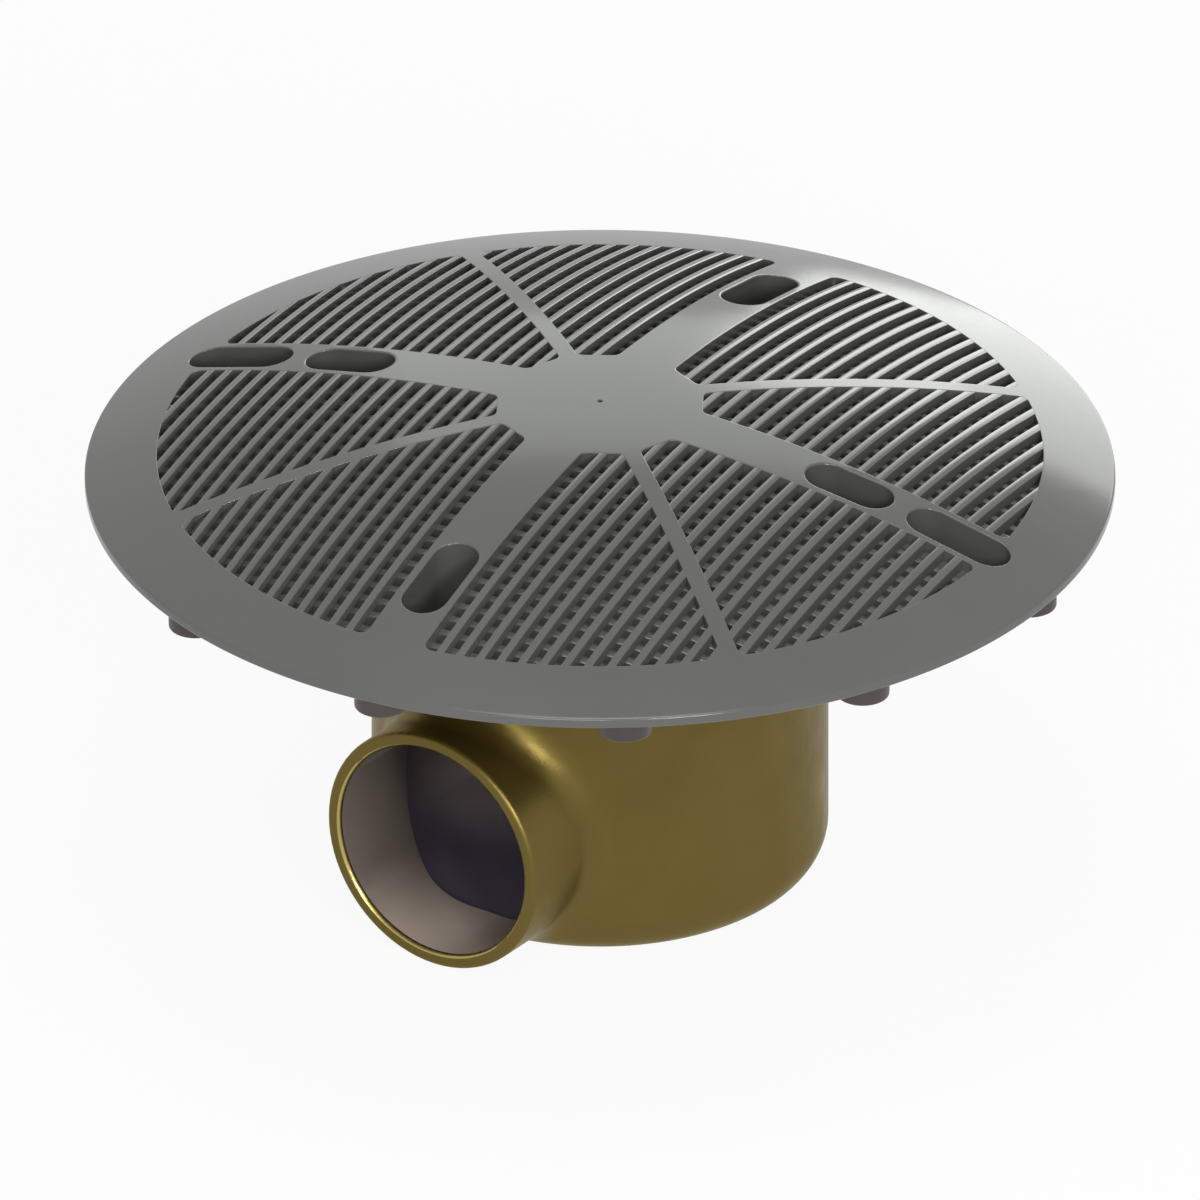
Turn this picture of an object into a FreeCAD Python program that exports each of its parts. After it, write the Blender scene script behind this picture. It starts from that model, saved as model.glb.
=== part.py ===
import FreeCAD, Part
import math
import os
from FreeCAD import Vector

# A pool main drain: a domed grille cover on a cast body with one side outlet.
# Millimetres, +Z up. The origin is the centre of the body's underside.
# X and Y run along the cover's two wide arms. The floor of the pool is level with the body's top.

# Domed cover
cover_radius = 125.0
dome_height = 20.35
shell_thickness = 5.0
rim_thickness = 2.5
rim_chamfer = 0.7
rim_width = 17.5
rim_seat_width = 4.5
arm_width = 15.5
diagonal_rib_width = 4.5
hub_radius = 25.0
hub_chamfer_angle = 26.0
sector_corner_radius = 2.2
gate_mark_radius = 0.6
gate_mark_depth = 1.5

# Grille bars, which run along Y, and cross ribs under them, which run along X
bar_pitch = 5.0
bar_width = 2.0
bar_inset = 0.4
bar_depth = 2.6
cross_rib_width = 2.0
cross_rib_overlap = 0.4
cross_rib_lift = 0.4
cross_rib_step_count = 4
grille_overlap = 1.5

# Feet under the rim, which stand on the floor of the pool
foot_height = 5.0
foot_count = 12
foot_radius = 6.5
foot_inset = 8.0
foot_start_angle = 0.8
foot_chamfer = 0.6

# Oblong wells for screws, each along its own arm
well_width = 11.5
well_wall = 2.0
well_floor = 3.0
inner_well_offset = 13.0
inner_well_length = 23.0
outer_well_inset = 26.7
outer_well_length = 27.0
side_well_inset = 42.0
side_well_length = 27.0
floor_slot_width = 5.5
floor_slot_length = 14.0

# Cast body
body_height = 97.5
body_radius = 55.4
body_wall = 5.0
body_floor = 4.0
body_base_rounding = 12.0
flange_margin = 4.0
flange_thickness = 4.0
flange_gusset = 4.0
screw_boss_radius = 7.5
screw_boss_height = 15.0
screw_hole_depth = 13.0

# Side outlet
outlet_angle = -98.1
outlet_bore_radius = 27.5
outlet_wall = 3.6
outlet_length = 14.8
outlet_base_gap = 0.7
outlet_fillet = 10.0
outlet_lip_rounding = 1.5

# Cover screws and washers
screw_radius = 3.0
screw_length = 16.0
screw_head_radius = 5.0
screw_head_height = 3.3
screw_head_rounding = 1.2
screw_drive_width = 1.2
screw_drive_depth = 1.5
washer_radius = 5.4
washer_thickness = 1.2
screw_clearance = 0.3

# Places and sizes worked out from those above
floor_z = body_height
rim_bottom_z = floor_z + foot_height
rim_top_z = rim_bottom_z + rim_thickness
dome_radius = (cover_radius ** 2 + dome_height ** 2) / (2 * dome_height)
dome_centre_z = rim_top_z + dome_height - dome_radius
above_cover_z = rim_top_z + dome_height + shell_thickness
grille_radius = cover_radius - rim_width
inner_well_place = body_radius + inner_well_offset
outer_well_place = cover_radius - outer_well_inset
side_well_place = cover_radius - side_well_inset
flange_radius = inner_well_place + screw_boss_radius + flange_margin
screw_hole_radius = screw_radius + screw_clearance
outlet_outer_radius = outlet_bore_radius + outlet_wall
outlet_height = outlet_outer_radius + outlet_base_gap
outlet_reach = body_radius + outlet_length
Z_AXIS = Vector(0, 0, 1)
ORIGIN = Vector(0, 0, 0)


def dome_z(radius, sink):
    """Height of the dome at a distance from its axis, sunk by a depth along its normal."""
    return dome_centre_z + math.sqrt((dome_radius - sink) ** 2 - radius ** 2)


def below_dome(sink):
    """A ball whose top is the dome, sunk by a depth."""
    return Part.makeSphere(dome_radius - sink, Vector(0, 0, dome_centre_z))


def arc(start, middle, end):
    return Part.Arc(start, middle, end).toShape()


def turned(edges):
    """The solid of an outline in the XZ plane turned about the Z axis."""
    return Part.Face(Part.Wire(edges)).revolve(ORIGIN, Z_AXIS, 360)


def oblong(length, width, bottom_z, top_z):
    """An upright oblong prism with round ends, long in X and centred on the Z axis."""
    half = (length - width) / 2
    radius = width / 2
    corners = [Vector(-half, -radius, bottom_z), Vector(half, -radius, bottom_z)]
    corners += [Vector(half, radius, bottom_z), Vector(-half, radius, bottom_z)]
    edges = [Part.makeLine(corners[0], corners[1])]
    edges.append(arc(corners[1], Vector(half + radius, 0, bottom_z), corners[2]))
    edges.append(Part.makeLine(corners[2], corners[3]))
    edges.append(arc(corners[3], Vector(-half - radius, 0, bottom_z), corners[0]))
    return Part.Face(Part.Wire(edges)).extrude(Vector(0, 0, top_z - bottom_z))


def placed(shape, angle, distance):
    """A copy moved out along X by a distance and then turned about the Z axis."""
    moved = shape.copy()
    moved.translate(Vector(distance, 0, 0))
    moved.rotate(ORIGIN, Z_AXIS, angle)
    return moved


def wells():
    """Angle, distance and length of each well, and whether a cover screw stands in it."""
    found = []
    for angle in (0, 180):
        found.append((angle, inner_well_place, inner_well_length, True))
        found.append((angle, outer_well_place, outer_well_length, False))
    for angle in (90, 270):
        found.append((angle, side_well_place, side_well_length, False))
    return found


def cover_shell():
    """The closed dome, as one turned outline whose thin rim has chamfered edges."""
    seat_radius = grille_radius + rim_seat_width
    chamfer_radius = cover_radius - rim_chamfer
    apex = Vector(0, 0, dome_z(0, 0))
    halfway = Vector(chamfer_radius / 2, 0, dome_z(chamfer_radius / 2, 0))
    rim_corners = [Vector(chamfer_radius, 0, dome_z(chamfer_radius, 0))]
    rim_corners.append(Vector(cover_radius, 0, rim_top_z - rim_chamfer))
    rim_corners.append(Vector(cover_radius, 0, rim_bottom_z + rim_chamfer))
    rim_corners.append(Vector(chamfer_radius, 0, rim_bottom_z))
    rim_corners.append(Vector(seat_radius, 0, dome_z(seat_radius, shell_thickness)))
    under_half = Vector(seat_radius / 2, 0, dome_z(seat_radius / 2, shell_thickness))
    under_apex = Vector(0, 0, dome_z(0, shell_thickness))
    edges = [arc(apex, halfway, rim_corners[0])]
    edges += Part.makePolygon(rim_corners).Edges
    edges += [arc(rim_corners[-1], under_half, under_apex), Part.makeLine(under_apex, apex)]
    return turned(edges)


def plan_point(angle, along, across):
    """A point in plan, along a ray at an angle from X and then across it to the left."""
    turn = math.radians(angle)
    x = along * math.cos(turn) - across * math.sin(turn)
    y = along * math.sin(turn) + across * math.cos(turn)
    return Vector(x, y, floor_z)


def hub_corner(angle, across):
    """Where the hub's straight edge meets a line beside the ray at an angle."""
    tilt = math.radians(angle - hub_chamfer_angle)
    along = (hub_radius + across * math.sin(tilt)) / math.cos(tilt)
    return plan_point(angle, along, across)


def rim_corner(angle, across):
    """Where the ring's inner edge meets a line beside the ray at an angle."""
    return plan_point(angle, math.sqrt(grille_radius ** 2 - across ** 2), across)


def sector():
    """One of the eight open sectors, between an arm and a diagonal rib, as an upright prism."""
    arm_side = arm_width / 2
    rib_side = -diagonal_rib_width / 2
    outer_middle = rim_corner(45 / 2, 0)
    edges = [Part.makeLine(hub_corner(0, arm_side), rim_corner(0, arm_side))]
    edges.append(arc(rim_corner(0, arm_side), outer_middle, rim_corner(45, rib_side)))
    edges.append(Part.makeLine(rim_corner(45, rib_side), hub_corner(45, rib_side)))
    edges.append(Part.makeLine(hub_corner(45, rib_side), hub_corner(0, arm_side)))
    height = above_cover_z - floor_z
    prism = Part.Face(Part.Wire(edges)).extrude(Vector(0, 0, height))
    upright = [edge for edge in prism.Edges if edge.BoundBox.ZLength > 0.99 * height]
    return prism.makeFillet(sector_corner_radius, upright)


def sectors():
    """The eight sectors: one, and its copy mirrored about the diagonal, both turned four times."""
    first = sector()
    second = first.mirror(ORIGIN, Vector(1, -1, 0))
    return [placed(each, 90 * turn, 0) for turn in range(4) for each in (first, second)]


def bar_offsets(width, every):
    """Places of the bars across one quarter, from beside the arm out to the last that fits."""
    first = math.ceil(arm_width / 2 / bar_pitch) + 0.5
    last = (grille_radius - width) / bar_pitch - 0.5
    places = [bar_pitch * (first + k) for k in range(1 + math.floor(last - first))]
    return places[every // 2::every]


def bar_line(stops, offset, width, sink):
    """Points along X that follow the dome at an offset from the XZ plane, on a bar's near side."""
    return [Vector(x, offset - width / 2, dome_z(math.hypot(x, offset), sink)) for x in stops]


def bar_ends(offset, width):
    """Where a bar starts inside the arm, and where it ends inside the rim's ring."""
    start = arm_width / 2 - grille_overlap
    return start, math.sqrt((grille_radius + grille_overlap) ** 2 - (offset - width / 2) ** 2)


def arched_bar(offset):
    """A bar of the grille, laid along X, whose upper and lower faces are arcs."""
    start, end = bar_ends(offset, bar_width)
    stops = (start, (start + end) / 2, end)
    upper = bar_line(stops, offset, bar_width, bar_inset)
    lower = bar_line(stops, offset, bar_width, bar_depth)
    edges = [arc(*upper), Part.makeLine(upper[2], lower[2])]
    edges += [arc(*reversed(lower)), Part.makeLine(lower[0], upper[0])]
    return Part.Face(Part.Wire(edges)).extrude(Vector(0, bar_width, 0))


def cross_rib(offset):
    """A rib along X under the bars, let into their undersides and straight from bar to bar."""
    start, end = bar_ends(offset, cross_rib_width)
    bends = [place for place in bar_offsets(bar_width, 1) if place < end - bar_width]
    stops = [start] + bends + [end]
    upper = bar_line(stops, offset, cross_rib_width, bar_depth - cross_rib_overlap)
    lower = bar_line(stops, offset, cross_rib_width, shell_thickness - cross_rib_lift)
    outline = Part.makePolygon(upper + lower[::-1] + upper[:1])
    return Part.Face(outline).extrude(Vector(0, cross_rib_width, 0))


def grille_quarter():
    """The bars and cross ribs of the quarter where X and Y are positive."""
    ribs = [cross_rib(offset) for offset in bar_offsets(cross_rib_width, cross_rib_step_count)]
    bars = [arched_bar(offset) for offset in bar_offsets(bar_width, 1)]
    bars = [bar.mirror(ORIGIN, Vector(1, -1, 0)) for bar in bars]
    return bars[0].multiFuse(bars[1:] + ribs)


def grille():
    """The quarter and its mirror images."""
    quarter = grille_quarter()
    half = [quarter, quarter.mirror(ORIGIN, Vector(1, 0, 0))]
    return half + [each.mirror(ORIGIN, Vector(0, 1, 0)) for each in half]


def feet():
    """Short round feet that grow out of the rim's underside."""
    foot = Part.makeCylinder(foot_radius, above_cover_z - floor_z, Vector(0, 0, floor_z))
    lower_edges = [edge for edge in foot.Edges if edge.BoundBox.ZMax < floor_z + 0.01]
    foot = foot.makeChamfer(foot_chamfer, lower_edges)
    step = 360 / foot_count
    distance = cover_radius - foot_inset
    under_rim_top = below_dome(rim_thickness / 2)
    copies = [placed(foot, foot_start_angle + step * k, distance) for k in range(foot_count)]
    return [copy.common(under_rim_top) for copy in copies]


def well_housings():
    """The walls around the wells, which stand on the pool floor or on the body's flange."""
    width = well_width + 2 * well_wall
    under_top = below_dome(shell_thickness / 2)
    found = []
    for angle, place, length, held in wells():
        block = oblong(length + 2 * well_wall, width, floor_z, above_cover_z)
        found.append(placed(block, angle, place).common(under_top))
    return found


def well_hollows():
    """The wells themselves, with a round hole for a cover screw or a slot for a floor screw."""
    found = []
    for angle, place, length, held in wells():
        pocket = oblong(length, well_width, floor_z + well_floor, above_cover_z)
        if held:
            below = Vector(0, 0, floor_z - well_floor)
            hole = Part.makeCylinder(screw_hole_radius, 3 * well_floor, below)
        else:
            hole = oblong(floor_slot_length, floor_slot_width, floor_z - well_floor, above_cover_z)
        found += [placed(pocket, angle, place), placed(hole, angle, place)]
    return found


def cover_grille():
    """The cover: one moulding of shell, arms, bars, wells and feet, with a gate mark on top."""
    frame = cover_shell().cut(sectors())
    cover = frame.multiFuse(well_housings() + feet() + grille())
    mark_base = Vector(0, 0, dome_z(0, 0) - gate_mark_depth)
    mark = Part.makeCylinder(gate_mark_radius, 2 * gate_mark_depth, mark_base)
    return cover.cut(well_hollows() + [mark])


def cup_outline(radius, bottom_z, rounding):
    """An outline from the axis along the bottom and round its corner, and the point it ends at."""
    slant = rounding * (1 - math.sqrt(0.5))
    corner = Vector(radius - rounding, 0, bottom_z)
    middle = Vector(radius - slant, 0, bottom_z + slant)
    rise = Vector(radius, 0, bottom_z + rounding)
    return [Part.makeLine(Vector(0, 0, bottom_z), corner), arc(corner, middle, rise)], rise


def body_outside():
    """The cup and its flange as one turned solid, before it is hollowed."""
    edges, rise = cup_outline(body_radius, 0, body_base_rounding)
    flange_bottom = floor_z - flange_thickness
    corners = [rise, Vector(body_radius, 0, flange_bottom - flange_gusset)]
    corners.append(Vector(body_radius + flange_gusset, 0, flange_bottom))
    corners += [Vector(flange_radius, 0, flange_bottom), Vector(flange_radius, 0, floor_z)]
    corners += [Vector(0, 0, floor_z), ORIGIN]
    return turned(edges + Part.makePolygon(corners).Edges)


def body_cavity():
    """The hollow of the cup, open at the top."""
    radius = body_radius - body_wall
    edges, rise = cup_outline(radius, body_floor, body_base_rounding - body_wall)
    corners = [rise, Vector(radius, 0, above_cover_z)]
    corners += [Vector(0, 0, above_cover_z), Vector(0, 0, body_floor)]
    return turned(edges + Part.makePolygon(corners).Edges)


def outlet_cylinder(radius, length):
    """A cylinder along the outlet's axis from the body's axis outwards."""
    direction = placed(Part.Vertex(1, 0, 0), outlet_angle, 0).Point
    return Part.makeCylinder(radius, length, Vector(0, 0, outlet_height), direction)


def outlet_places(edge):
    """How far along the outlet, and how far from its axis, three points of an edge lie."""
    found = []
    for share in (0.1, 0.5, 0.9):
        parameter = edge.FirstParameter + share * (edge.LastParameter - edge.FirstParameter)
        point = edge.valueAt(parameter)
        point = placed(Part.Vertex(point), -outlet_angle, 0).Point
        found.append((point.x, math.hypot(point.y, point.z - outlet_height)))
    return found


def is_join(edge):
    """Whether an edge lies where the outlet's outside meets the outside of the cup."""
    for along, away in outlet_places(edge):
        if abs(away - outlet_outer_radius) > 0.01 or not 0 < along < body_radius + 0.01:
            return False
    return True


def is_mouth(edge):
    """Whether an edge is one of the two circles of the outlet's face."""
    return all(abs(along - outlet_reach) < 0.01 for along, away in outlet_places(edge))


def drain_body():
    """The cast cup with its flange, bosses with blind screw holes and side outlet."""
    outside = body_outside().fuse(outlet_cylinder(outlet_outer_radius, outlet_reach))
    outside = outside.makeFillet(outlet_fillet, [edge for edge in outside.Edges if is_join(edge)])
    boss_base = Vector(0, 0, floor_z - screw_boss_height)
    boss = Part.makeCylinder(screw_boss_radius, screw_boss_height - flange_thickness / 2, boss_base)
    hole_base = Vector(0, 0, floor_z - screw_hole_depth)
    hole = Part.makeCylinder(screw_hole_radius, 2 * screw_hole_depth, hole_base)
    held = [(angle, place) for angle, place, length, held in wells() if held]
    outside = outside.multiFuse([placed(boss, angle, place) for angle, place in held])
    bore = outlet_cylinder(outlet_bore_radius, outlet_reach + outlet_wall)
    hollows = [body_cavity().fuse(bore)]
    body = outside.cut(hollows + [placed(hole, angle, place) for angle, place in held])
    rounding = min(outlet_lip_rounding, 0.45 * outlet_wall)
    return body.makeFillet(rounding, [edge for edge in body.Edges if is_mouth(edge)])


def cover_screw():
    """A slotted cheese-head screw that stands in a well, with its head on the washer."""
    seat_z = floor_z + well_floor + washer_thickness
    head = Part.makeCylinder(screw_head_radius, screw_head_height, Vector(0, 0, seat_z))
    top_edges = [edge for edge in head.Edges if edge.BoundBox.ZMin > seat_z + screw_head_height - 0.01]
    head = head.makeFillet(screw_head_rounding, top_edges)
    shank = Part.makeCylinder(screw_radius, screw_length, Vector(0, 0, seat_z - screw_length))
    drive_z = seat_z + screw_head_height - screw_drive_depth
    corner = Vector(-screw_head_radius, -screw_drive_width / 2, drive_z)
    drive = Part.makeBox(2 * screw_head_radius, screw_drive_width, screw_head_height, corner)
    return head.fuse(shank).cut(drive)


def screw_washer():
    """A flat washer on the floor of a well."""
    seat = Vector(0, 0, floor_z + well_floor)
    disc = Part.makeCylinder(washer_radius, washer_thickness, seat)
    return disc.cut(Part.makeCylinder(screw_hole_radius, washer_thickness, seat))


def solid(shape):
    """The one solid of a shape, with faces that lie in one surface joined."""
    cleaned = shape.removeSplitter()
    if len(cleaned.Solids) != 1:
        raise ValueError("a piece has %d solids" % len(cleaned.Solids))
    return cleaned.Solids[0]


def pieces():
    """Every piece of the drain by its name."""
    found = {"cover_grille": cover_grille(), "drain_body": drain_body()}
    for side, angle in (("right", 0), ("left", 180)):
        found["cover_screw_" + side] = placed(cover_screw(), angle, inner_well_place)
        found["screw_washer_" + side] = placed(screw_washer(), angle, inner_well_place)
    return found


os.makedirs("parts", exist_ok=True)
for name, shape in pieces().items():
    piece = solid(shape)
    print(name, len(piece.Faces), "faces", round(piece.Volume), "mm3", piece.isValid())
    piece.exportStep("parts/" + name + ".step")
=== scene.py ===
# %% [markdown]
# # A pool main drain
# The object is a round domed grille of grey plastic on a cast brass cup with one pipe outlet.
# The imported frame holds its pieces at their real size, so this script only makes their looks.
# Lengths are worked out in millimetres here and turned into metres when a mesh is made.

# %% Load the frame
import math
import bmesh
import bpy
import numpy as np
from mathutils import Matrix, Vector, geometry


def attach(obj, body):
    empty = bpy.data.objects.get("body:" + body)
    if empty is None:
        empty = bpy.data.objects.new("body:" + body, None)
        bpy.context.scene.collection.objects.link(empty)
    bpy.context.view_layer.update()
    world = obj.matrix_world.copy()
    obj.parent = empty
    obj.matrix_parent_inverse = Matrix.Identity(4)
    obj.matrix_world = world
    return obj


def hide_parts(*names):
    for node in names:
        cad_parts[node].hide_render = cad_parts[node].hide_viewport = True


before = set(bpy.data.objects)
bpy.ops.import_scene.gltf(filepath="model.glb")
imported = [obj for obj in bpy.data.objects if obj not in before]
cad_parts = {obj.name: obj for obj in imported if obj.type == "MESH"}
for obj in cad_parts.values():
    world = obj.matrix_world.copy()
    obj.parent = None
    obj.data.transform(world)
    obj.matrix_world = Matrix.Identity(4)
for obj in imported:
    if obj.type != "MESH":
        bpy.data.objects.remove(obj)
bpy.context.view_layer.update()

METRES = 0.001
print("nodes:", sorted(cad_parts))

# %% [markdown]
# ## The sizes of the cover
# The cover is one moulding. Its top is part of a ball, cut through by eight sectors of thin bars.
# The solid cover could be dressed as it is, but it has flat facets, sharp edges and only some of
# the ribs. So a finer surface is worked out from the same sizes, and it lies on the solid one.

# %% Sizes of the cover, in millimetres
cover_radius = 125.0
rim_top_z = 105.0
rim_bottom_z = 102.5
floor_z = 97.5
dome_height = 20.35
shell_thickness = 5.0
grille_radius = 107.5
seat_radius = 112.0
arm_half_width = 7.75
diagonal_half_width = 2.25
hub_radius = 25.0
hub_angle = math.radians(26.0)
corner_radius = 2.2
dome_radius = (cover_radius ** 2 + dome_height ** 2) / (2 * dome_height)
dome_centre_z = rim_top_z + dome_height - dome_radius
print("dome radius", round(dome_radius, 1), "mm")

# %% [markdown]
# ## The dome as a formula
# Every point of the top is a plan point lifted onto a ball. Sinking it makes the ball smaller,
# so one formula gives the upper face, the under face and everything between them. A flat mesh
# bent by a modifier would come close, but its thickness would change towards the rim.

# %% Lift plan points onto the dome
def lifted(plan, sink):
    """Adds z = centre + sqrt((R - sink)^2 - x^2 - y^2) to an array of plan points."""
    inner = (dome_radius - sink) ** 2 - (plan ** 2).sum(axis=-1)
    return np.concatenate([plan, (dome_centre_z + np.sqrt(inner))[..., None]], axis=-1)


def level(plan, z):
    """Adds one height to an array of plan points."""
    return np.concatenate([plan, np.full(plan.shape[:-1] + (1,), float(z))], axis=-1)


# %% [markdown]
# ## Gather surfaces into one mesh
# Each surface is a grid of points, given as an array. A gathering of grids is welded into one
# mesh, because the real cover is one moulding, and its edges stay crisp only where they turn by
# more than a set angle.

# %% Weld a mesh and make it an object
def welded(name, mesh, distance, sharp_degrees, outwards):
    """Merges doubles, turns faces outwards if asked, shades curves smoothly and links the piece."""
    work = bmesh.new()
    work.from_mesh(mesh)
    bmesh.ops.remove_doubles(work, verts=work.verts, dist=distance)
    if outwards:
        bmesh.ops.recalc_face_normals(work, faces=work.faces)
    work.to_mesh(mesh)
    work.free()
    mesh.polygons.foreach_set("use_smooth", np.ones(len(mesh.polygons), bool))
    mesh.set_sharp_from_angle(angle=math.radians(sharp_degrees))
    piece = bpy.data.objects.new(name, mesh)
    bpy.context.scene.collection.objects.link(piece)
    print(name, "has", len(mesh.vertices), "points and", len(mesh.polygons), "faces")
    return piece


# %% A gathering of grids and triangles
class Gathering:
    """Points and faces of several surfaces that become one mesh."""

    def __init__(self):
        self.points = []
        self.faces = []
        self.count = 0

    def add(self, points, faces):
        """Keeps points and faces, with the faces' numbers moved past the points kept before."""
        self.points.append(points.reshape(-1, 3))
        self.faces.append(faces + self.count)
        self.count += points.reshape(-1, 3).shape[0]

    def grid(self, points):
        """Quads over an array of rows, where each row is a closed ring."""
        rows, columns = points.shape[:2]
        index = np.arange(rows * columns).reshape(rows, columns)
        after = np.roll(index, -1, axis=1)
        quads = np.stack([index[:-1], index[1:], after[1:], after[:-1]], axis=-1)
        self.add(points, quads.reshape(-1, 4))

    def fan(self, ring):
        """Triangles from the middle of a ring of points to its sides."""
        count = len(ring)
        points = np.concatenate([ring, ring.mean(axis=0, keepdims=True)])
        index = np.arange(count)
        faces = np.stack([index, np.roll(index, -1), np.full(count, count)], axis=-1)
        self.add(points, faces)

    def made(self, name, sharp_degrees):
        """The welded object, with faces turned outwards and edges sharp past an angle."""
        mesh = bpy.data.meshes.new(name)
        faces = [face for block in self.faces for face in block.tolist()]
        mesh.from_pydata(np.concatenate(self.points) * METRES, [], faces)
        return welded(name, mesh, distance=2e-6, sharp_degrees=sharp_degrees, outwards=True)


# %% [markdown]
# ## Outlines that can grow
# A sector and a well are both an inner shape grown outwards by a radius, which rounds their
# corners. An outline is kept as base points and the directions they grow in, so growing it a
# little more or less gives the rings of a rounded edge with the same number of points. A bevel
# could round the edges too, but it trips over the short sides where many holes lie close.

# %% Outlines as base points and directions
def direction(angles):
    """Unit vectors (cos a, sin a) for an array of angles."""
    return np.stack([np.cos(angles), np.sin(angles)], axis=-1)


def grown(outline, extra):
    """The outline's points: each base point moved along its direction by the radius and more."""
    base, out, radius = outline
    return base + (radius + extra) * out


def meeting(normal_a, offset_a, normal_b, offset_b):
    """The plan point p with normal a . p = offset a and normal b . p = offset b."""
    return np.linalg.solve(np.stack([normal_a, normal_b]), np.array([offset_a, offset_b]))


def on_ring(normal, offset, radius, turn):
    """The plan point offset * n + sqrt(radius^2 - offset^2) * across, to one side of n."""
    across = np.array([-normal[1], normal[0]]) * turn
    return offset * normal + math.sqrt(radius ** 2 - offset ** 2) * across


# %% The sector between the arm on X and the diagonal rib
corner_steps, side_steps, arc_steps, hub_steps = 7, 36, 44, 6


def sector_outline():
    """Two straight sides, the hub's straight edge and the ring's arc, all moved in by a radius."""
    arm = np.array([0.0, 1.0])
    rib = direction(np.array(-math.pi / 4))
    hub = direction(np.array(hub_angle))
    ring = grille_radius - corner_radius
    arm_offset = arm_half_width + corner_radius
    rib_offset = diagonal_half_width + corner_radius
    hub_arm = meeting(hub, hub_radius + corner_radius, arm, arm_offset)
    hub_rib = meeting(hub, hub_radius + corner_radius, rib, rib_offset)
    ring_arm = on_ring(arm, arm_offset, ring, -1)
    ring_rib = on_ring(rib, rib_offset, ring, 1)
    low = math.atan2(ring_arm[1], ring_arm[0])
    high = math.atan2(ring_rib[1], ring_rib[0])
    arm_out, rib_out, hub_out = -math.pi / 2, 3 * math.pi / 4, hub_angle - math.pi

    def corner(point, start, end):
        """One point many times, with directions that turn from one angle to another."""
        return np.tile(point, (corner_steps, 1)), np.linspace(start, end, corner_steps)

    def side(start, end, out, count):
        """Points between two corners, all with the same direction."""
        return np.linspace(start, end, count + 2)[1:-1], np.full(count, out)

    arc = np.linspace(low, high, arc_steps)[1:-1]
    parts = [corner(hub_arm, hub_out, arm_out), side(hub_arm, ring_arm, arm_out, side_steps)]
    parts += [corner(ring_arm, arm_out, low), (ring * direction(arc), arc)]
    parts += [corner(ring_rib, high, rib_out), side(ring_rib, hub_rib, rib_out, side_steps)]
    parts += [corner(hub_rib, rib_out, hub_out + 2 * math.pi)]
    parts += [side(hub_rib, hub_arm, hub_out, hub_steps)]
    base = np.concatenate([part[0] for part in parts])
    out = direction(np.concatenate([part[1] for part in parts]))
    return base, out, corner_radius


def turned(outline, degrees, mirrored=False):
    """The outline turned about the middle, after being mirrored about the diagonal if asked."""
    base, out, radius = outline
    if mirrored:
        base, out = base[::-1, ::-1], out[::-1, ::-1]
    a = math.radians(degrees)
    turn = np.array([[math.cos(a), math.sin(a)], [-math.sin(a), math.cos(a)]])
    return base @ turn, out @ turn, radius


first_sector = sector_outline()
sectors = [turned(first_sector, 90 * k, flip) for k in range(4) for flip in (False, True)]
print("points around one sector:", len(first_sector[0]))

# %% [markdown]
# ## The wells
# Six deep oblong wells stand in the two wide arms. Two of them hold the cover's screws,
# and the other four let a longer screw reach the floor of the pool. Their outline is made in the
# same way as a sector's, so the same steps can round it and carry it down.

# %% Places of the wells and oblong outlines
well_width = 11.5
end_steps = 15
# Each well: its arm in degrees, its place along the arm, its length, and if it has a cover screw
wells = [(0, 68.4, 23.0, True), (180, 68.4, 23.0, True)]
wells += [(0, 98.3, 27.0, False), (180, 98.3, 27.0, False)]
wells += [(90, 83.0, 27.0, False), (270, 83.0, 27.0, False)]


def oblong_outline(distance, length, width, degrees):
    """A short line grown by half the width, with its two ends as half circles."""
    half = (length - width) / 2
    angles = np.linspace(-math.pi / 2, math.pi / 2, end_steps)
    ends = np.concatenate([np.full(end_steps, half), np.full(end_steps, -half)]) + distance
    base = np.stack([ends, np.zeros(2 * end_steps)], axis=-1)
    out = direction(np.concatenate([angles, angles + math.pi]))
    return turned((base, out, width / 2), degrees)


well_outlines = [oblong_outline(place, length, well_width, a) for a, place, length, held in wells]
print("wells:", len(well_outlines), "and", sum(held for *_, held in wells), "have a screw")

# %% [markdown]
# ## Flat plates with holes
# The upper face is what is left of a disc around the sectors and wells. A grid can't follow that,
# so its plan is filled with triangles between the outlines and then lifted onto the dome. Loose
# points between the outlines keep the triangles small, or the dome would show flat patches.

# %% Fill a plan between an outer ring and its holes
# A loose point nearer than this to an outline is left out, or it would make a sliver
least_gap = 0.9


def ring_points(radius, count):
    """Points (r cos a, r sin a) at equal angles around a circle."""
    return radius * direction(np.linspace(0, 2 * math.pi, count, endpoint=False))


def inside(points, loop):
    """Whether each point lies inside a loop that turns only one way."""
    ahead = np.roll(loop, -1, axis=0) - loop
    gap = points[:, None, :] - loop[None, :, :]
    turn = ahead[None, :, 0] * gap[..., 1] - ahead[None, :, 1] * gap[..., 0]
    return (turn >= 0).all(axis=1)


def filled(outer, holes, loose):
    """Plan points and triangles of the outer ring's inside, without its holes."""
    loops = [outer] + holes
    border = np.concatenate(loops)
    nearest = np.array([np.sqrt(((border - p) ** 2).sum(axis=1)).min() for p in loose])
    loose = loose[nearest > least_gap]
    starts = np.cumsum([0] + [len(loop) for loop in loops])
    edges = []
    for start, end in zip(starts[:-1], starts[1:]):
        index = np.arange(start, end)
        edges += np.stack([index, np.roll(index, -1)], axis=-1).tolist()
    every = [Vector(p) for p in np.concatenate([border, loose]).tolist()]
    found = geometry.delaunay_2d_cdt(every, edges, [], 0, 1e-7)
    points = np.array([tuple(p) for p in found[0]])
    triangles = np.array(found[2])
    centres = points[triangles].mean(axis=1)
    keep = inside(centres, outer)
    for hole in holes:
        keep &= ~inside(centres, hole)
    return points, triangles[keep]


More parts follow.
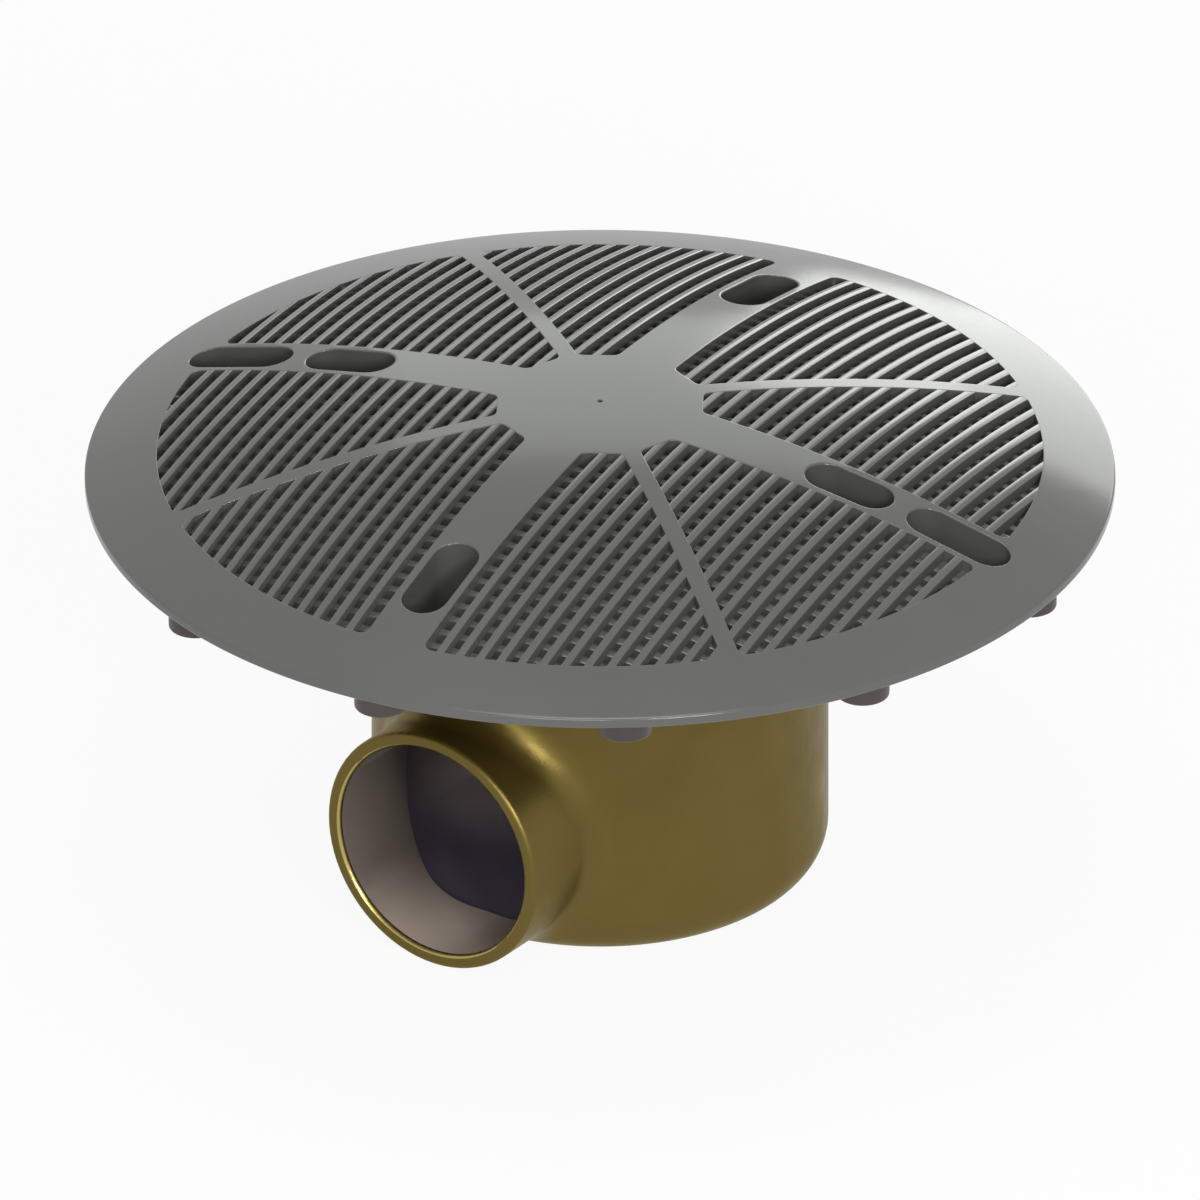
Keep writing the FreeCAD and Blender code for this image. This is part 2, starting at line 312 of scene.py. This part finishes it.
# %% The upper and under faces of the cover
ring_count = 288
edge_rounding = 0.15
well_rounding = 0.35
# The plate stops this far outside a rounded edge, and one ring of quads leads on from there
support = 0.25
mark_radius, mark_depth, mark_steps = 0.6, 1.0, 16
mark_rounding, mark_rounding_depth, mark_taper = 0.2, 0.15, 0.1
ring_spacing, first_ring_gap, last_ring_gap = 3.0, 2.5, 1.0
grid_spacing, grid_half = 2.5, 106.0
arm_reach, rib_reach, hub_reach, grid_reach = 7.0, 1.4, 30.0, 107.0
rim_rounding, rim_support = 0.55, 0.4
upper_radius = cover_radius - rim_rounding - rim_support


def loose_points(radius):
    """Rings near the rim and a square grid over the arms, ribs and hub, within their widths."""
    first, last = grille_radius + first_ring_gap, radius - last_ring_gap
    radii = np.arange(first, last, ring_spacing)
    rings = [ring_points(r, ring_count) for r in radii]
    steps = np.arange(-grid_half, grid_half, grid_spacing)
    square = np.stack(np.meshgrid(steps, steps), axis=-1).reshape(-1, 2)
    from_middle = (square ** 2).sum(axis=1)
    near_arm = np.abs(square).min(axis=1) < arm_reach
    near_rib = np.abs(np.abs(square[:, 0]) - np.abs(square[:, 1])) < rib_reach
    near_hub = from_middle < hub_reach ** 2
    kept = (near_arm | near_rib | near_hub) & (from_middle < grid_reach ** 2)
    return np.concatenate(rings + [square[kept]])


def add_face(gathering, radius, holes, sink):
    """Fills a disc around its holes and adds it, lifted onto the dome, to the gathering."""
    plan, triangles = filled(ring_points(radius, ring_count), holes, loose_points(radius))
    gathering.add(lifted(plan, sink), triangles)
    print("a face of", len(triangles), "triangles,", sink, "mm below the dome")


cover = Gathering()
mark = np.zeros((mark_steps, 2)), ring_points(1.0, mark_steps), mark_radius
upper_holes = [grown(s, edge_rounding + support) for s in sectors]
upper_holes += [grown(w, well_rounding + support) for w in well_outlines]
upper_holes.append(grown(mark, mark_rounding))
add_face(cover, upper_radius, upper_holes, 0.0)
under_holes = [grown(outline, 0.0) for outline in sectors + well_outlines]
add_face(cover, seat_radius, under_holes, shell_thickness)

# %% [markdown]
# ## Rounded edges and walls
# A moulded edge is never sharp, and its thin line of light is what makes it look real. A quarter
# circle is carried round each hole: as its angle grows, the outline shrinks back to its true size
# while the surface sinks, and then the wall goes down.

# %% Carry a rounded edge around each hole
quarter_steps = 5


def edge_rings(outline, rounding, wall_bottom):
    """Rings from the plate's support line over a quarter circle and down the wall to a depth."""
    rings = [lifted(grown(outline, rounding + support), 0.0)]
    for a in np.linspace(0, math.pi / 2, quarter_steps):
        extra = rounding * (1 - math.sin(a))
        rings.append(lifted(grown(outline, extra), rounding * (1 - math.cos(a))))
    rings.append(lifted(grown(outline, 0.0), rounding + support))
    rings.append(lifted(grown(outline, 0.0), wall_bottom))
    return np.stack(rings)


for outline in sectors:
    cover.grid(edge_rings(outline, edge_rounding, shell_thickness))
for outline in well_outlines:
    cover.grid(edge_rings(outline, well_rounding, shell_thickness))
print("points with the rounded edges:", cover.count)

# %% The gate mark in the middle, a small pit where the plastic ran into the mould
mark_rings = [lifted(grown(mark, mark_rounding), 0.0)]
mark_rings.append(lifted(grown(mark, 0.0), mark_rounding_depth))
mark_rings.append(lifted(grown(mark, -mark_taper), mark_depth))
cover.grid(np.stack(mark_rings))
cover.fan(mark_rings[-1])
print("gate mark", 2 * mark_radius, "mm wide")

# %% [markdown]
# ## The rim
# The rim is a profile turned about the middle: the dome runs out to a thin edge with two round
# corners, and the underside climbs back to the full thickness where the bars begin. A Screw
# modifier could turn it, but here its rings have to meet the points of the plates exactly.

# %% Turn the rim's profile
rim_lift, rim_start_angle, rim_steps = 0.15, math.radians(72), 7
taper_gap, taper_steps = 0.3, 5


def rim_profile():
    """Radius and height pairs from the upper face round the edge and back to the under face."""
    outer = cover_radius - rim_rounding
    top = rim_top_z + rim_lift - rim_rounding
    bottom = rim_bottom_z + rim_rounding
    upper_angles = np.linspace(rim_start_angle, 0, rim_steps)
    lower_angles = np.linspace(0, -math.pi / 2, rim_steps)
    upper = rim_rounding * direction(upper_angles) + (outer, top)
    lower = rim_rounding * direction(lower_angles) + (outer, bottom)
    inward = np.linspace(outer - taper_gap, seat_radius + taper_gap, taper_steps)
    seat_z = dome_centre_z + math.sqrt((dome_radius - shell_thickness) ** 2 - seat_radius ** 2)
    share = (outer - inward) / (outer - seat_radius)
    taper = np.stack([inward, rim_bottom_z + (seat_z - rim_bottom_z) * share], axis=-1)
    start = lifted(np.array([[upper_radius, 0.0]]), 0.0)[:, ::2]
    return np.concatenate([start, upper, lower, taper, [[seat_radius, seat_z]]])


profile = rim_profile()
rim_rings = [level(ring_points(radius, ring_count), z) for radius, z in profile]
cover.grid(np.stack(rim_rings))
print("rim profile points:", len(profile))

# %% [markdown]
# ## The cups of the wells
# Below the plate each well is a cup of its own with a thick wall and a floor. The floor has
# a slot for a floor screw, or a round hole where a cover screw goes down into the flange. One run
# of rings goes down the inside and up the outside, so the wall is closed and has a thickness.

# %% Build the cups
well_wall, well_floor_thickness = 1.97, 3.0
well_floor_z = floor_z + well_floor_thickness
well_fillet, well_fillet_steps = 0.8, 4
well_chamfer = 0.4
slot_length, slot_width, hole_radius = 14.0, 5.5, 3.3
slot_rounding = 0.2
# The cup starts inside the plate, and a hair outside the hole, so no two faces coincide
hidden_sink = shell_thickness - 0.3
hair = 0.02


def cup_rings(outline, opening):
    """Rings from the hidden top of the wall, down inside, over the floor and up outside."""
    rings = [lifted(grown(outline, hair), hidden_sink)]
    rings.append(level(grown(outline, hair), well_floor_z + well_fillet))
    for a in np.linspace(0, math.pi / 2, well_fillet_steps):
        extra = hair - well_fillet * (1 - math.cos(a))
        height = well_floor_z + well_fillet * (1 - math.sin(a))
        rings.append(level(grown(outline, extra), height))
    rings.append(level(grown(opening, slot_rounding), well_floor_z))
    rings.append(level(grown(opening, 0.0), well_floor_z - slot_rounding))
    rings.append(level(grown(opening, 0.0), floor_z))
    rings.append(level(grown(outline, well_wall - well_chamfer), floor_z))
    rings.append(level(grown(outline, well_wall), floor_z + well_chamfer))
    rings.append(lifted(grown(outline, well_wall), hidden_sink))
    rings.append(rings[0])
    return np.stack(rings)


for outline, (degrees, place, length, held) in zip(well_outlines, wells):
    if held:
        opening = oblong_outline(place, 2 * hole_radius, 2 * hole_radius, degrees)
    else:
        opening = oblong_outline(place, slot_length, slot_width, degrees)
    cover.grid(cup_rings(outline, opening))
print("points with the cups:", cover.count)

# %% [markdown]
# ## The bars
# The bars run along Y, level with the plate and half as deep as it. Under them, at the same
# pitch, cross ribs run along X and reach a little below the plate, so that no finger or long
# hair gets through. An Array modifier could repeat one bar, but each bar has its own length and
# its own curve, so one section is carried along the dome for all of them at once.

# %% Carry a section along each bar
bar_pitch = 5.0
bar_half_width = 1.0
bar_top, bar_bottom = 0.03, 2.6
rib_top, rib_bottom = 2.45, 5.7
bar_rounding = 0.12
first_bar, last_bar_gap = 12.5, 2.0
overlap = 1.5
bar_stations, rib_stations = 22, 12


def bar_section(top, bottom):
    """Across and depth pairs around a bar, with round upper edges."""
    h, r = bar_half_width, bar_rounding
    bend = r * (1 - math.sqrt(0.5))
    left = [(-h, bottom), (-h, top + r), (-h + bend, top + bend), (-h + r, top)]
    return np.array(left + [(-across, sink) for across, sink in left[::-1]])


def bars(section, stations):
    """Rings [bar, station, section point] of plan places and depths over one quarter, along Y."""
    middle = np.arange(first_bar, grille_radius - last_bar_gap, bar_pitch)
    end = np.sqrt((grille_radius + overlap) ** 2 - (middle - bar_half_width) ** 2)
    share = np.linspace(0, 1, stations)
    start = arm_half_width - overlap
    along = start + share[None, :] * (end[:, None] - start)
    x = middle[:, None, None] + section[None, None, :, 0] + 0 * along[..., None]
    y = along[..., None] + 0 * x
    sink = section[None, None, :, 1] + 0 * x
    inner = (dome_radius - sink) ** 2 - x ** 2 - y ** 2
    return np.stack([x, y, dome_centre_z + np.sqrt(inner)], axis=-1)


def add_bars(gathering, rings, swapped):
    """Adds the quarter's bars and their mirror images, with both ends closed."""
    if swapped:
        rings = rings[..., [1, 0, 2]]
    for mirror in ((1, 1, 1), (-1, 1, 1), (1, -1, 1), (-1, -1, 1)):
        for bar in rings * np.array(mirror):
            gathering.grid(bar)
            gathering.fan(bar[0])
            gathering.fan(bar[-1])


bar_rings = bars(bar_section(bar_top, bar_bottom), bar_stations)
rib_rings = bars(bar_section(rib_top, rib_bottom), rib_stations)
add_bars(cover, bar_rings, False)
add_bars(cover, rib_rings, True)
print("bars and ribs in one quarter:", len(bar_rings), "and", len(rib_rings))

# %% [markdown]
# ## The feet
# Twelve short round feet hold the rim just above the floor of the pool, so water also runs
# in under the edge. Each one is a small turned profile, moved out to its place. They could be
# copies of one object, but they belong to the moulding, so they go into its mesh.

# %% Turn the feet
foot_radius = 6.5
foot_distance = 117.0
foot_count, first_foot_degrees = 12, 0.8
foot_angles = np.radians(first_foot_degrees + 360.0 / foot_count * np.arange(foot_count))
foot_rounding = 0.8
foot_overlap = 0.2
foot_steps = 40


def foot_rings():
    """Rings up a foot from its flat bottom, over a round corner and into the rim."""
    angles = np.linspace(math.pi / 2, 0, quarter_steps)
    radii = foot_radius - foot_rounding * (1 - np.cos(angles))
    heights = floor_z + foot_rounding * (1 - np.sin(angles))
    rings = [level(ring_points(r, foot_steps), z) for r, z in zip(radii, heights)]
    rings.append(level(ring_points(foot_radius, foot_steps), rim_bottom_z + foot_overlap))
    return np.stack(rings)


for angle in foot_angles:
    place = np.array([*(foot_distance * direction(angle)), 0.0])
    foot = foot_rings() + place
    cover.grid(foot)
    cover.fan(foot[0])
    cover.fan(foot[-1])

cover_piece = cover.made("cover_moulding", sharp_degrees=32.0)
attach(cover_piece, "root")
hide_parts("cover_grille")

# %% [markdown]
# ## The cast body
# The solid body already has the true form, with the soft blend between the cup and the outlet,
# so it isn't made again. Its mesh is loose triangles that shade flat, so a copy is welded, light
# runs smoothly over it, and it stands in for the node.

# %% Weld a copy of the solid's mesh
body_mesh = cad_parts["drain_body"].data.copy()
body_mesh.name = "cast_body"
body_piece = welded("cast_body", body_mesh, distance=1e-6, sharp_degrees=30.0, outwards=False)
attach(body_piece, "root")
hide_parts("drain_body")

# %% [markdown]
# ## Materials
# Each finish is a Principled shader whose colour, roughness and bump vary with noise on Object
# coordinates, so it stays put on the piece. A painted picture could do the same, but it would
# need an unwrapped mesh. Numbers that are the same all over sit on the sockets.

# %% Helpers for node materials
def new_material(name):
    """A new material with its tree, its Principled shader and its Object coordinates."""
    material = bpy.data.materials.new(name)
    material.use_nodes = True
    tree = material.node_tree
    shader = tree.nodes["Principled BSDF"]
    coordinates = tree.nodes.new("ShaderNodeTexCoord").outputs["Object"]
    print("material", name)
    return material, tree, shader, coordinates


def noise(tree, coordinates, scale, detail=4.0, roughness=0.55):
    """Noise with a given number of waves to the metre, roughly from 0.3 to 0.7."""
    node = tree.nodes.new("ShaderNodeTexNoise")
    node.inputs["Scale"].default_value = scale
    node.inputs["Detail"].default_value = detail
    node.inputs["Roughness"].default_value = roughness
    tree.links.new(coordinates, node.inputs["Vector"])
    return node.outputs["Fac"]


def ramp(tree, value, stops):
    """A colour ramp with given places and colours."""
    node = tree.nodes.new("ShaderNodeValToRGB")
    elements = node.color_ramp.elements
    while len(elements) < len(stops):
        elements.new(0.5)
    for element, (place, colour) in zip(elements, stops):
        element.position = place
        element.color = (*colour, 1.0)
    tree.links.new(value, node.inputs["Fac"])
    return node.outputs["Color"]


def spread(tree, value, low, high):
    """Maps noise between 0.3 and 0.7 onto a range."""
    node = tree.nodes.new("ShaderNodeMapRange")
    node.inputs["From Min"].default_value = 0.3
    node.inputs["From Max"].default_value = 0.7
    node.inputs["To Min"].default_value = low
    node.inputs["To Max"].default_value = high
    tree.links.new(value, node.inputs["Value"])
    return node.outputs["Result"]


def bump(tree, height, depth, strength, below=None):
    """A bump of a given depth in metres, laid over another one if given."""
    node = tree.nodes.new("ShaderNodeBump")
    node.inputs["Strength"].default_value = strength
    node.inputs["Distance"].default_value = depth
    tree.links.new(height, node.inputs["Height"])
    if below is not None:
        tree.links.new(below, node.inputs["Normal"])
    return node.outputs["Normal"]


def dress(piece, material):
    """Makes a material the first and only one of a piece."""
    piece.data.materials.clear()
    piece.data.materials.append(material)


# %% [markdown]
# ## Grey plastic
# The cover is glossy grey plastic. Long shallow waves from the mould bend its reflections,
# and a very fine grain keeps the highlights soft. Its own colour is dark: most of the light that
# it gives back is reflection, so the lamps behind it matter as much as the colour.

# %% The cover's plastic
plastic, tree, shader, coordinates = new_material("grey_moulded_plastic")
tint = noise(tree, coordinates, 14.0, 3.0)
grey = ramp(tree, tint, [(0.3, (0.090, 0.089, 0.082)), (0.7, (0.102, 0.101, 0.094))])
tree.links.new(grey, shader.inputs["Base Color"])
tree.links.new(spread(tree, noise(tree, coordinates, 60.0), 0.11, 0.16), shader.inputs["Roughness"])
waves = bump(tree, noise(tree, coordinates, 22.0, 2.0, 0.4), 0.0003, 0.25)
grain = bump(tree, noise(tree, coordinates, 1600.0, 2.0), 0.00002, 0.3, waves)
tree.links.new(grain, shader.inputs["Normal"])
shader.inputs["IOR"].default_value = 1.53
dress(cover_piece, plastic)

# %% [markdown]
# ## The feet's finish and painted shade
# The feet are duller than the top, and their darker, browner colour is painted shade from the
# rim above them. They belong to the same mesh, so they take a second material on it, chosen by
# where the middle of a face lies.

# %% Give the feet a duller finish and painted shade
rough_plastic, tree, shader, coordinates = new_material("foot_plastic_painted_shade")
tint = noise(tree, coordinates, 45.0, 3.0)
# Painted shade: this darker, browner grey stands for the shade under the rim, not another plastic
brown = ramp(tree, tint, [(0.3, (0.039, 0.028, 0.027)), (0.7, (0.050, 0.036, 0.034))])
tree.links.new(brown, shader.inputs["Base Color"])
tree.links.new(spread(tree, noise(tree, coordinates, 90.0), 0.38, 0.5), shader.inputs["Roughness"])
dull = bump(tree, noise(tree, coordinates, 1100.0, 2.0), 0.00003, 0.4)
tree.links.new(dull, shader.inputs["Normal"])
cover_piece.data.materials.append(rough_plastic)
# A face still counts as on a surface when its middle is this far off it
margin = 0.1


def face_centres(mesh):
    """The middle of every face, in millimetres, as three arrays."""
    centres = np.empty(len(mesh.polygons) * 3)
    mesh.polygons.foreach_get("center", centres)
    return centres.reshape(-1, 3).T / METRES


x, y, z = face_centres(cover_piece.data)
foot_places = foot_distance * direction(foot_angles)
away = np.min([np.hypot(x - px, y - py) for px, py in foot_places], axis=0)
on_foot = (away < foot_radius + margin) & (z < rim_bottom_z + margin)
cover_piece.data.polygons.foreach_set("material_index", on_foot.astype(np.int32))
print("faces on the feet:", int(on_foot.sum()))

# %% [markdown]
# ## Cast brass
# The body is sand-cast and lightly blasted: dull olive gold with a fine grain, a little browner
# in places. The bore is turned smooth and is greyer. The lip's inner edge is smoother metal whose
# pale colour is a painted highlight, and the inside of the cup is as it came out of the sand.
# One helper makes all four.

# %% The body's brass
def cast_metal(name, dark, light, metallic, rough):
    """Cast metal: two colours in patches, uneven roughness, shallow dimples and sand grain."""
    material, tree, shader, coordinates = new_material(name)
    patches = noise(tree, coordinates, 18.0, 5.0)
    tree.links.new(ramp(tree, patches, [(0.3, dark), (0.7, light)]), shader.inputs["Base Color"])
    shader.inputs["Metallic"].default_value = metallic
    shader.inputs["Specular Tint"].default_value = (0.75, 0.70, 0.55, 1.0)
    uneven = spread(tree, noise(tree, coordinates, 90.0), rough - 0.05, rough + 0.05)
    tree.links.new(uneven, shader.inputs["Roughness"])
    dimples = bump(tree, noise(tree, coordinates, 320.0, 3.0), 0.00012, 0.45)
    sand = bump(tree, noise(tree, coordinates, 1500.0, 2.0), 0.00004, 0.45, dimples)
    tree.links.new(sand, shader.inputs["Normal"])
    return material


olive = cast_metal("cast_brass_olive",
                   (0.119, 0.086, 0.019), (0.147, 0.109, 0.0285), 0.80, 0.36)
bored = cast_metal("bored_wall_of_the_outlet",
                   (0.175, 0.146, 0.124), (0.25, 0.21, 0.176), 0.30, 0.36)
# Painted highlight: the lip edge's pale colour stands for the light it catches; its lower roughness
# is a smoother turned edge
bright = cast_metal("lip_edge_painted_highlight",
                    (0.36, 0.28, 0.10), (0.44, 0.35, 0.13), 0.97, 0.27)
raw = cast_metal("raw_casting_inside",
                 (0.21, 0.19, 0.24), (0.44, 0.36, 0.31), 0.30, 0.45)

# %% [markdown]
# ## Painted light and shade inside
# The bottom of the bore is painted paler than its sides, as painted light where the lamps reach
# it, and the cup's inside is painted darker and bluer near the outlet than at the back, as painted
# shade. A second colour is mixed in by the height or the depth of the place, which is read from
# the Object coordinates, so it stays in place on the metal.

# %% Colours that change along an axis
def blend_along(material, axis, full, none, colour):
    """Mixes a colour in along an axis: all of it at one place, none from another (metres)."""
    tree = material.node_tree
    base = tree.nodes["Principled BSDF"].inputs["Base Color"]
    coordinates = tree.nodes.new("ShaderNodeTexCoord").outputs["Object"]
    split = tree.nodes.new("ShaderNodeSeparateXYZ")
    tree.links.new(coordinates, split.inputs[0])
    share = tree.nodes.new("ShaderNodeMapRange")
    share.inputs["From Min"].default_value = full
    share.inputs["From Max"].default_value = none
    share.inputs["To Min"].default_value = 1.0
    share.inputs["To Max"].default_value = 0.0
    share.interpolation_type = "SMOOTHSTEP"
    tree.links.new(split.outputs[axis], share.inputs["Value"])
    mix = tree.nodes.new("ShaderNodeMix")
    mix.data_type = "RGBA"
    tree.links.new(share.outputs["Result"], mix.inputs["Factor"])
    tree.links.new(base.links[0].from_socket, mix.inputs["A"])
    mix.inputs["B"].default_value = (*colour, 1.0)
    tree.links.new(mix.outputs["Result"], base)
    print(material.name, "changes along", axis)


# Painted light: the paler colour on the bore's floor stands for the light that falls in through the
# mouth
blend_along(bored, "Z", 0.003, 0.018, (0.62, 0.51, 0.43))
# Painted shade: the darker, bluer colour in the cup towards the outlet stands for the shade deep
# inside it
blend_along(raw, "Y", -0.020, 0.006, (0.13, 0.12, 0.16))
dress(body_piece, olive)
for finish in (bored, raw, bright):
    body_piece.data.materials.append(finish)

# %% Find the faces inside the casting
cup_inner_radius = 50.4
cup_floor_z = 4.0
outlet_angle = math.radians(-98.1)
bore_axis_z = 31.8
bore_radius = 27.5
bore_end = 68.65
bright_width = 0.65


def finish_of_faces(mesh):
    """2 inside the cup, 1 on the outlet's bore, 3 on the lip's inner edge and 0 elsewhere."""
    x, y, z = face_centres(mesh)
    c, s = math.cos(outlet_angle), math.sin(outlet_angle)
    along = x * c + y * s
    away = np.hypot(y * c - x * s, z - bore_axis_z)
    in_height = (z > cup_floor_z - margin) & (z < floor_z - margin)
    in_cup = (np.hypot(x, y) < cup_inner_radius + margin) & in_height
    in_bore = (away < bore_radius + margin) & (along > 0) & (along < bore_end)
    on_edge = (away < bore_radius + bright_width) & (along >= bore_end)
    return np.select([in_cup, in_bore, on_edge], [2, 1, 3], 0).astype(np.int32)


finishes = finish_of_faces(body_piece.data)
body_piece.data.polygons.foreach_set("material_index", finishes)
print("faces outside, on the bore, in the cup and on the edge:", np.bincount(finishes))

# %% [markdown]
# ## Stainless screws
# The two screws and their washers lie deep in the inner wells, where little of them is seen.
# The solids are dressed as they are, and turned steel needs only a fine noise in its roughness.

# %% The screws' steel
steel, tree, shader, coordinates = new_material("turned_stainless_steel")
tint = noise(tree, coordinates, 200.0)
shade = ramp(tree, tint, [(0.3, (0.52, 0.52, 0.51)), (0.7, (0.60, 0.60, 0.59))])
tree.links.new(shade, shader.inputs["Base Color"])
shader.inputs["Metallic"].default_value = 1.0
uneven = spread(tree, noise(tree, coordinates, 700.0), 0.22, 0.34)
tree.links.new(uneven, shader.inputs["Roughness"])
for name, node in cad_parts.items():
    if name.startswith(("cover_screw", "screw_washer")):
        dress(node, steel)

# %% [markdown]
# ## The floor
# A large pale floor carries the drain's shadow. To the camera and in reflections it also glows
# almost white, which gives a plain ground without more light on the object.

# %% The floor
def seen_as_white(tree):
    """One for rays from the camera, off gloss or through glass, and nothing for soft light."""
    path = tree.nodes.new("ShaderNodeLightPath")
    total = path.outputs["Is Camera Ray"]
    for name in ("Is Glossy Ray", "Is Transmission Ray"):
        larger = tree.nodes.new("ShaderNodeMath")
        larger.operation = "MAXIMUM"
        tree.links.new(total, larger.inputs[0])
        tree.links.new(path.outputs[name], larger.inputs[1])
        total = larger.outputs[0]
    return total


floor_mesh = bpy.data.meshes.new("studio_floor")
floor_half = 4.0
corners = np.array([(-1, -1, 0), (1, -1, 0), (1, 1, 0), (-1, 1, 0)]) * floor_half
floor_mesh.from_pydata(corners, [], [(0, 1, 2, 3)])
floor = bpy.data.objects.new("studio_floor", floor_mesh)
bpy.context.scene.collection.objects.link(floor)
paper, tree, shader, coordinates = new_material("white_paper_floor")
shader.inputs["Base Color"].default_value = (0.85, 0.85, 0.85, 1.0)
shader.inputs["Roughness"].default_value = 0.9
glow = tree.nodes.new("ShaderNodeEmission")
mix = tree.nodes.new("ShaderNodeMixShader")
shown = seen_as_white(tree)
share = tree.nodes.new("ShaderNodeMath")
share.operation = "MULTIPLY"
share.inputs[1].default_value = 0.92
tree.links.new(shown, share.inputs[0])
tree.links.new(share.outputs[0], mix.inputs["Fac"])
tree.links.new(shader.outputs[0], mix.inputs[1])
tree.links.new(glow.outputs[0], mix.inputs[2])
tree.links.new(mix.outputs[0], tree.nodes["Material Output"].inputs["Surface"])
dress(floor, paper)

# %% [markdown]
# ## Lamps and the world
# The gloss of the cover shows what stands behind it, so two large lamps stand there: a low one
# like a window, for the bright part of the rim, and a weaker and higher one for the hub. Softer
# light comes from above, from the front and, for the flare of the outlet, from the right.

# %% Lamps
view_azimuth, view_elevation = 27.8, 28.4
middle = Vector((0.0, 0.0, 0.07))


def toward(azimuth, elevation):
    """The direction at two angles in degrees: azimuth 0 is along -Y, and it turns towards +X."""
    a, e = math.radians(azimuth), math.radians(elevation)
    return Vector((math.sin(a) * math.cos(e), -math.cos(a) * math.cos(e), math.sin(e)))


def aimed(name, data, place, away):
    """An object at a place that looks back along a direction."""
    holder = bpy.data.objects.new(name, data)
    holder.location = place
    holder.rotation_euler = (-away).to_track_quat("-Z", "Y").to_euler()
    bpy.context.scene.collection.objects.link(holder)
    return holder


def area_lamp(name, turn, rise, distance, size, radiance, colour=(1.0, 1.0, 1.0)):
    """A square lamp aimed at the drain, placed by its turn from straight behind and its rise."""
    lamp = bpy.data.lights.new(name, "AREA")
    lamp.shape = "SQUARE"
    lamp.size = size
    lamp.energy = radiance * math.pi * size ** 2
    lamp.color = colour
    away = toward(view_azimuth + 180.0 - turn, rise)
    aimed(name, lamp, middle + distance * away, away)
    print(name, "gives", round(lamp.energy, 2), "watts")


# Name, turn and rise in degrees, distance and side in metres, radiance against white, colour
area_lamp("back_window", 18.0, 14.5, 1.2, 0.52, 2.8, (0.97, 1.0, 0.96))
area_lamp("back_panel", 2.5, 27.0, 1.2, 0.50, 1.1, (0.93, 1.0, 0.93))
area_lamp("top_softbox", 0.0, 86.0, 1.3, 0.5, 4.0)
area_lamp("front_softbox", 188.0, 25.0, 1.5, 0.50, 7.0)
area_lamp("right_softbox", 162.0, 25.0, 1.5, 0.34, 26.0)

# %% The world
world = bpy.data.worlds.new("studio")
world.use_nodes = True
tree = world.node_tree
soft = tree.nodes["Background"]
soft.inputs["Color"].default_value = (0.92, 0.95, 1.0, 1.0)
soft.inputs["Strength"].default_value = 0.42
white = tree.nodes.new("ShaderNodeBackground")
white.inputs["Color"].default_value = (1.0, 1.0, 1.0, 1.0)
white.inputs["Strength"].default_value = 1.0
mix = tree.nodes.new("ShaderNodeMixShader")
tree.links.new(seen_as_white(tree), mix.inputs["Fac"])
tree.links.new(soft.outputs[0], mix.inputs[1])
tree.links.new(white.outputs[0], mix.inputs[2])
tree.links.new(mix.outputs[0], tree.nodes["World Output"].inputs["Surface"])
bpy.context.scene.world = world
print("world strength:", round(soft.inputs["Strength"].default_value, 2))

# %% [markdown]
# ## The camera
# The view has no perspective: the far half of the cover is as large as the near half. A far-off
# camera with a long lens would come close, but an orthographic one is exact, and its scale is
# the width that it shows.

# %% The camera
picture_width = 0.29098
picture_middle = Vector((0.0, 0.0, 0.07046))
camera_distance = 2.0
lens = bpy.data.cameras.new("camera")
lens.type = "ORTHO"
lens.ortho_scale = picture_width
away = toward(view_azimuth, view_elevation)
camera = aimed("camera", lens, picture_middle + camera_distance * away, away)
bpy.context.scene.camera = camera
print("camera at", [round(v, 3) for v in camera.location])

# %% Picture settings and the end
bpy.context.scene.view_settings.view_transform = "Standard"
